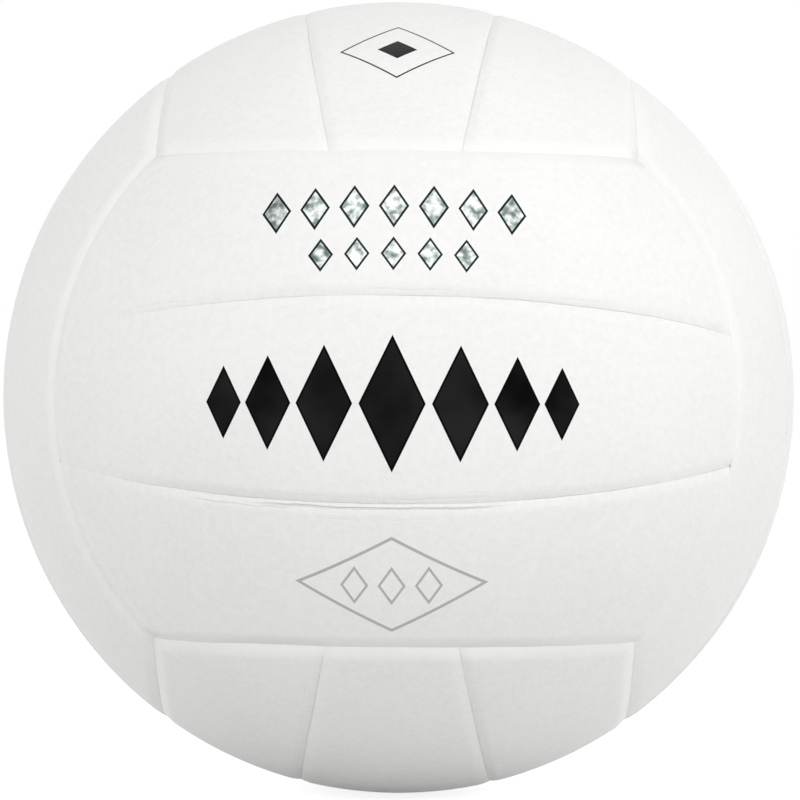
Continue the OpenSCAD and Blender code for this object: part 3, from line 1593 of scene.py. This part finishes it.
    def build(self, plain: bpy.types.Material, printed: dict[str, bpy.types.Material]) -> None:
        """Models all the panels and dresses them.

        Args:
            plain: The leather without print.
            printed: The leather of the panels that have print, by panel name.
        """
        strips = {row: self.model_strip(row) for row in (Row.MIDDLE, Row.LAST)}
        pits = self.junctions()
        half_turn = Matrix.Rotation(math.pi, 4, "Y")
        for number, (block, row) in enumerate(product(Block, Row)):
            name = block.panel_name(row)
            turn = block.turn()
            if row is Row.FIRST:
                turn = turn @ half_turn
            shape = Row.MIDDLE if row is Row.MIDDLE else Row.LAST
            panel = self.copy_strip(strips[shape], f"{name}_leather")
            self.settle(panel, shape, turn, pits, number)
            if block is Block.BACK and row is Row.MIDDLE:
                self.punch_valve_hole(panel)
            select_only(panel)
            bpy.ops.object.shade_smooth_by_angle(angle=LEATHER_SMOOTH)
            keep_piece(panel, (f"{name}_panel",), printed.get(name, plain))
        for strip in strips.values():
            bpy.data.objects.remove(strip)


@dataclass(frozen=True)
class Valve:
    """The rubber valve in the back middle panel, about +Y.

    Attributes:
        flange_top: Distance from the ball's centre to the flange's outer side.
        stem_r: Radius of the housing's stem.
        core_hole_r: Radius of the hole for the core's shank.
        foot_hole_r: Radius of the hole for the core's foot.
        outlet_r: Radius of the air outlet.
        flange_t: Thickness of the flange.
        flange_steps: Steps of the flange's outline, from the stem to its rim.
        rim: Size of the rounded rims of the stem's face.
        outer_rim: Points of the outer one, as shares of that size outwards and down.
        inner_rim: The same for the one round the core's hole.
        core_r: Radius of the core's shank.
        foot_l: Length of the core's foot.
        crown: Height of the core's crowned face.
        crown_inset: How far the crown stands in from the shank.
        crown_steps: Steps of the crown's outline, and of the funnel's.
        needle_r: Radius of the needle's hole.
        needle_depth: Depth of that hole.
        lead_in_r: Radius of its mouth.
        lead_in_depth: Depth of the funnel at its mouth.
        lead_in_power: How quickly that funnel narrows.
        rounding: Bevel on the housing's moulded edges.
        core_rounding: The same on the core's.
    """

    flange_top: float
    stem_r: float = mm(3.65)
    core_hole_r: float = mm(2.25)
    foot_hole_r: float = mm(2.85)
    outlet_r: float = mm(1.2)
    flange_t: float = mm(1.2)
    flange_steps: int = 4
    rim: float = mm(0.28)
    outer_rim: tuple[tuple[float, float], ...] = ((0.0, 1.0), (-0.35, 0.3), (-1.0, 0.0))
    inner_rim: tuple[tuple[float, float], ...] = ((1.4, 0.0), (0.4, 0.35), (0.0, 1.3))
    core_r: float = mm(2.2)
    foot_l: float = mm(3.0)
    crown: float = mm(0.16)
    crown_inset: float = mm(0.04)
    crown_steps: int = 6
    needle_r: float = mm(0.9)
    needle_depth: float = mm(9.5)
    lead_in_r: float = mm(1.6)
    lead_in_depth: float = mm(0.7)
    lead_in_power: float = 1.6
    rounding: float = mm(0.12)
    core_rounding: float = mm(0.04)

    def flange(self, flange_r: float) -> list[tuple[float, float]]:
        """Outline of the flange, which is curved like the ball.

        Args:
            flange_r: Its radius.

        Returns:
            The points, from under the stem round the rim to the stem's outer side.
        """
        top, under = self.flange_top, self.flange_top - self.flange_t
        shares = [step / self.flange_steps for step in range(self.flange_steps + 1)]
        outs = [self.stem_r + (flange_r - self.stem_r) * share for share in shares]
        lower = [(out, math.sqrt(under**2 - out**2)) for out in outs]
        upper = [(out, math.sqrt(top**2 - out**2)) for out in reversed(outs)]
        return lower + upper

    def build_housing(self, material: bpy.types.Material) -> None:
        """Models the housing: stem, flange and the stepped hole for the core.

        Args:
            material: Its finish.
        """
        inner_end, face = node_reach("valve_housing")
        core_end, _ = node_reach("valve_core")
        foot_top = core_end + self.foot_l
        outline = [(self.outlet_r, inner_end), (self.stem_r, inner_end)]
        outline += self.flange(node_reach("valve_housing", 0)[1])
        for radius, rim in ((self.stem_r, self.outer_rim), (self.core_hole_r, self.inner_rim)):
            outline += [(radius + self.rim * aside, face - self.rim * down) for aside, down in rim]
        outline += [(self.core_hole_r, foot_top), (self.foot_hole_r, foot_top), (self.foot_hole_r, core_end)]
        outline += [(self.outlet_r, core_end), (self.outlet_r, inner_end)]
        housing = turned_body("valve_housing_rubber", outline, bevel=self.rounding)
        keep_piece(housing, ("valve_housing",), material)

    def build_core(self, material: bpy.types.Material) -> None:
        """Models the core: foot, shank, crowned face and the needle's hole.

        Args:
            material: Its finish.
        """
        core_end, face = node_reach("valve_core")
        foot_r = node_reach("valve_core", 0)[1]
        outline = [(0.0, core_end), (foot_r, core_end), (foot_r, core_end + self.foot_l)]
        outline += [(self.core_r, core_end + self.foot_l), (self.core_r, face - self.crown * 2.0)]
        shares = [step / self.crown_steps for step in range(self.crown_steps + 1)]
        for share in shares:
            out = self.core_r - (self.core_r - self.lead_in_r) * share
            outline.append((out - self.crown_inset, face - self.crown * (1.0 - share) ** 2))
        for share in shares[1:]:
            out = self.needle_r + (self.lead_in_r - self.needle_r) * (1.0 - share) ** self.lead_in_power
            outline.append((out, face - self.lead_in_depth * share))
        outline += [(self.needle_r, face - self.needle_depth), (0.0, face - self.needle_depth)]
        core = turned_body("valve_core_rubber", outline, bevel=self.core_rounding)
        keep_piece(core, ("valve_core",), material)


@dataclass(frozen=True)
class InnerLayers:
    """The CAD nodes under the leather, which keep their own shape.

    Attributes:
        layers: The layers' nodes and their material slots.
    """

    layers: tuple[tuple[str, str], ...] = (
        ("rubber_carcass", "carcass_rubber"),
        ("cloth_wrap", "wrap_cloth"),
        ("thread_winding", "winding_thread"),
        ("bladder", "bladder_rubber"),
        ("valve_patch", "patch_rubber"),
    )

    def dress(self, finishes: dict[str, bpy.types.Material]) -> None:
        """Gives each layer and each backing its finish.

        Args:
            finishes: The finishes, by material slot.
        """
        nodes = dict(self.layers)
        for block, row in product(Block, Row):
            nodes[f"{block.panel_name(row)}_backing"] = "cushion_backing"
        for name, slot in nodes.items():
            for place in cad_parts[name].material_slots:
                place.material = finishes[slot]
            log.info("%s: dressed as %s", name, slot)


# Studio

@dataclass(frozen=True)
class Softbox:
    """A square area lamp that points at the ball.

    Attributes:
        name: Its name.
        azimuth: Angle round the ball, 0 in front and 90 on the right, in degrees.
        elevation: Angle over the horizon, in degrees.
        away: Distance from the ball.
        side: Length of its side.
        power: Its power, in watts.
    """

    name: str
    azimuth: float
    elevation: float
    away: float
    side: float
    power: float

    def build(self) -> None:
        """Adds the lamp."""
        azimuth, elevation = math.radians(self.azimuth), math.radians(self.elevation)
        level = math.cos(elevation)
        towards = Vector((math.sin(azimuth) * level, -math.cos(azimuth) * level, math.sin(elevation)))
        turn = towards.to_track_quat("Z", "Y").to_euler()
        bpy.ops.object.light_add(type="AREA", location=towards * self.away, rotation=turn)
        lamp = bpy.context.object
        lamp.name = self.name
        lamp.data.shape = "SQUARE"
        lamp.data.size = self.side
        lamp.data.energy = self.power


@dataclass(frozen=True)
class Studio:
    """Camera, lamps, world and floor.

    Attributes:
        ball_r: Radius of the ball.
        distance: Distance from the camera to the ball's centre.
        swing: Angle of the camera round the ball, in degrees.
        climb: Angle of the camera over the horizon, in degrees.
        roll: Angle of the camera about its own axis, in degrees.
        centre_x: Column of the ball's centre in the picture.
        centre_y: Row of the ball's centre in the picture.
        radius_px: Radius of the ball in the picture.
        sight: Nearest and farthest distance that the camera sees.
        sky: Strength of the world's light.
        floor_size: Side of the floor.
        floor_tone: Grey of the floor in the light that it gives back.
        floor_lift: What the camera sees added to the floor's own light.
        lamps: The softboxes.
    """

    ball_r: float
    distance: float = 0.945
    swing: float = 0.85
    climb: float = 0.3
    roll: float = 0.37
    centre_x: float = 398.64
    centre_y: float = 397.57
    radius_px: float = 395.6
    sight: tuple[float, float] = (0.00945, 24.0)
    sky: float = 0.53
    floor_size: float = 12.0
    floor_tone: float = 0.72
    floor_lift: float = 0.8
    lamps: tuple[Softbox, ...] = (
        Softbox("low_left", -55.0, 8.0, 2.0, 1.4, 11.0),
        Softbox("low_right", 55.0, 8.0, 2.0, 1.4, 13.1),
        Softbox("side_left", -100.0, 25.0, 2.0, 1.4, 1.2),
        Softbox("side_right", 100.0, 25.0, 2.0, 1.4, 3.3),
        Softbox("high_front", 0.0, 45.0, 2.0, 1.4, 8.6),
        Softbox("high_right", 50.0, 45.0, 2.0, 1.4, 4.8),
    )

    def add_camera(self) -> None:
        """Adds the camera at the photograph's place and frames the ball as it does."""
        swing, climb = math.radians(self.swing), math.radians(self.climb)
        level = math.cos(climb)
        place = Vector((math.sin(swing) * level, -math.cos(swing) * level, math.sin(climb))) * self.distance
        looking = place.to_track_quat("Z", "Y").to_matrix() @ Matrix.Rotation(math.radians(self.roll), 3, "Z")
        bpy.ops.object.camera_add(location=place, rotation=looking.to_euler())
        camera = bpy.context.object
        half_px = PICTURE_SIDE / 2.0
        edge = math.tan(math.asin(self.ball_r / self.distance))
        camera.data.lens = camera.data.sensor_width / 2.0 / (edge * half_px / self.radius_px)
        camera.data.shift_x = (half_px - self.centre_x) / PICTURE_SIDE
        camera.data.shift_y = (self.centre_y - half_px) / PICTURE_SIDE
        camera.data.clip_start, camera.data.clip_end = self.sight
        bpy.context.scene.camera = camera

    @staticmethod
    def seen(graph: Graph, *kinds: str) -> Value:
        """Tells the rays of some kinds from all others.

        Args:
            graph: The graph of a material or the world.
            kinds: The kinds, by their names in the Light Path node.

        Returns:
            1 for these rays and 0 for others.
        """
        path = graph.node("ShaderNodeLightPath").outputs
        mask = Value(graph, path[kinds[0]])
        for kind in kinds[1:]:
            mask = graph.math("MAXIMUM", mask, path[kind])
        return mask

    def add_world(self) -> None:
        """Adds an even sky, which the camera and reflections see as plain white."""
        world = bpy.data.worlds.new("white sky")
        world.use_nodes = True
        bpy.context.scene.world = world
        graph = Graph(world.node_tree)
        seen = self.seen(graph, "Is Camera Ray", "Is Glossy Ray", "Is Transmission Ray")
        light = graph.node("ShaderNodeBackground", {"Color": WHITE, "Strength": self.sky})
        white = graph.node("ShaderNodeBackground", {"Color": WHITE, "Strength": 1.0})
        both = graph.node("ShaderNodeMixShader", {0: seen, 1: light.outputs[0], 2: white.outputs[0]})
        graph.node("ShaderNodeOutputWorld", {"Surface": both.outputs[0]})

    def add_floor(self) -> None:
        """Adds the floor under the ball, which takes its shadow."""
        deselect_all()
        bpy.ops.mesh.primitive_plane_add(size=self.floor_size, location=(0.0, 0.0, -self.ball_r))
        floor = bpy.context.object
        floor.name = "floor"
        material = bpy.data.materials.new("pale floor")
        material.use_nodes = True
        graph = Graph(material.node_tree)
        seen = self.seen(graph, "Is Camera Ray", "Is Glossy Ray")
        paint = graph.node("ShaderNodeBsdfDiffuse", {"Color": rgba((self.floor_tone,) * 3)})
        lift = graph.node("ShaderNodeEmission", {"Strength": seen * self.floor_lift})
        both = graph.node("ShaderNodeAddShader", {0: paint.outputs[0], 1: lift.outputs[0]})
        graph.node("ShaderNodeOutputMaterial", {"Surface": both.outputs[0]})
        floor.data.materials.append(material)

    def build(self) -> None:
        """Adds everything round the ball."""
        self.add_camera()
        self.add_world()
        self.add_floor()
        for lamp in self.lamps:
            lamp.build()
        bpy.context.scene.view_settings.view_transform = "Standard"


# The ball

def main() -> None:
    """Builds the studio, the cover, the valve and the inner layers."""
    logging.basicConfig(level=logging.INFO, format="%(name)s: %(message)s")
    noise.seed_set(NOISE_SEED)
    ball_r = (cad_box[1] - cad_box[0])[2] / 2.0
    Studio(ball_r).build()
    log.info("studio: camera, sky, floor and lamps")

    effects = Effects()
    leather = LeatherFinish(ball_r)
    plain = leather.material(effects, "white leather")
    printed = {
        "front_middle": leather.material(
            effects, "leather with black diamonds", Ink.BLACK,
            (Print(-0.5, 8.0, 16.5, pitch=17.6, each_side=3.0, shrink=0.14),),
        ),
        "front_upper": leather.material(
            effects, "leather with silver diamonds", Ink.SILVER,
            (Print(26.4, 3.7, 6.0, pitch=9.6, each_side=3.0, line=0.6),
             Print(19.5, 3.1, 4.4, pitch=8.8, each_side=2.0, line=0.55)),
        ),
        "front_lower": leather.material(
            effects, "leather with grey diamonds", Ink.GREY,
            (Print(-25.3, 23.5, 13.0, line=0.75, outline=True),
             Print(-25.3, 3.4, 5.2, pitch=9.0, each_side=1.0, line=0.6, outline=True)),
            (Fold(-33.0, 40.0, 1.15), Fold(20.0, 52.0, 1.9, depth=0.12)),
        ),
        "top_middle": leather.material(
            effects, "leather with a small black diamond", Ink.BLACK,
            (Print(56.6, 14.5, 13.5, line=0.5, outline=True), Print(56.6, 5.0, 4.6)),
        ),
    }
    leather_t = ball_r + node_reach("front_middle_backing")[0]
    cover = Cover(SeamPlan(ball_r), leather_t, valve_hole_r=mm(3.75))
    cover.build(plain, printed)

    valve = Valve(flange_top=ball_r - mm(5.7))
    housing_rubber = RubberFinish((0.018, 0.018, 0.02), (0.07, 0.07, 0.072), 0.42)
    valve.build_housing(housing_rubber.material(effects, "black housing rubber"))
    core_rubber = RubberFinish((0.03, 0.03, 0.033), (0.1, 0.1, 0.1), 0.5)
    valve.build_core(core_rubber.material(effects, "grey core rubber"))

    cloth = ThreadFinish((0.74, 0.71, 0.62), (0.4, 0.37, 0.3), 0.7, 1.0, mm(0.12))
    winding = ThreadFinish((0.72, 0.64, 0.46), (0.36, 0.3, 0.18), 0.9, 0.55, mm(0.2))
    finishes = {
        "cushion_backing": ("backing felt", FeltFinish()),
        "carcass_rubber": ("carcass rubber", RubberFinish((0.05, 0.05, 0.05), (0.12, 0.12, 0.12), 0.6)),
        "wrap_cloth": ("wrap cloth", cloth),
        "winding_thread": ("winding thread", winding),
        "bladder_rubber": ("bladder rubber", RubberFinish((0.02, 0.02, 0.02), (0.06, 0.06, 0.06), 0.38)),
        "patch_rubber": ("patch rubber", RubberFinish((0.05, 0.05, 0.05), (0.11, 0.11, 0.11), 0.55)),
    }
    InnerLayers().dress({slot: finish.material(effects, name) for slot, (name, finish) in finishes.items()})


if __name__ == "__main__":
    main()
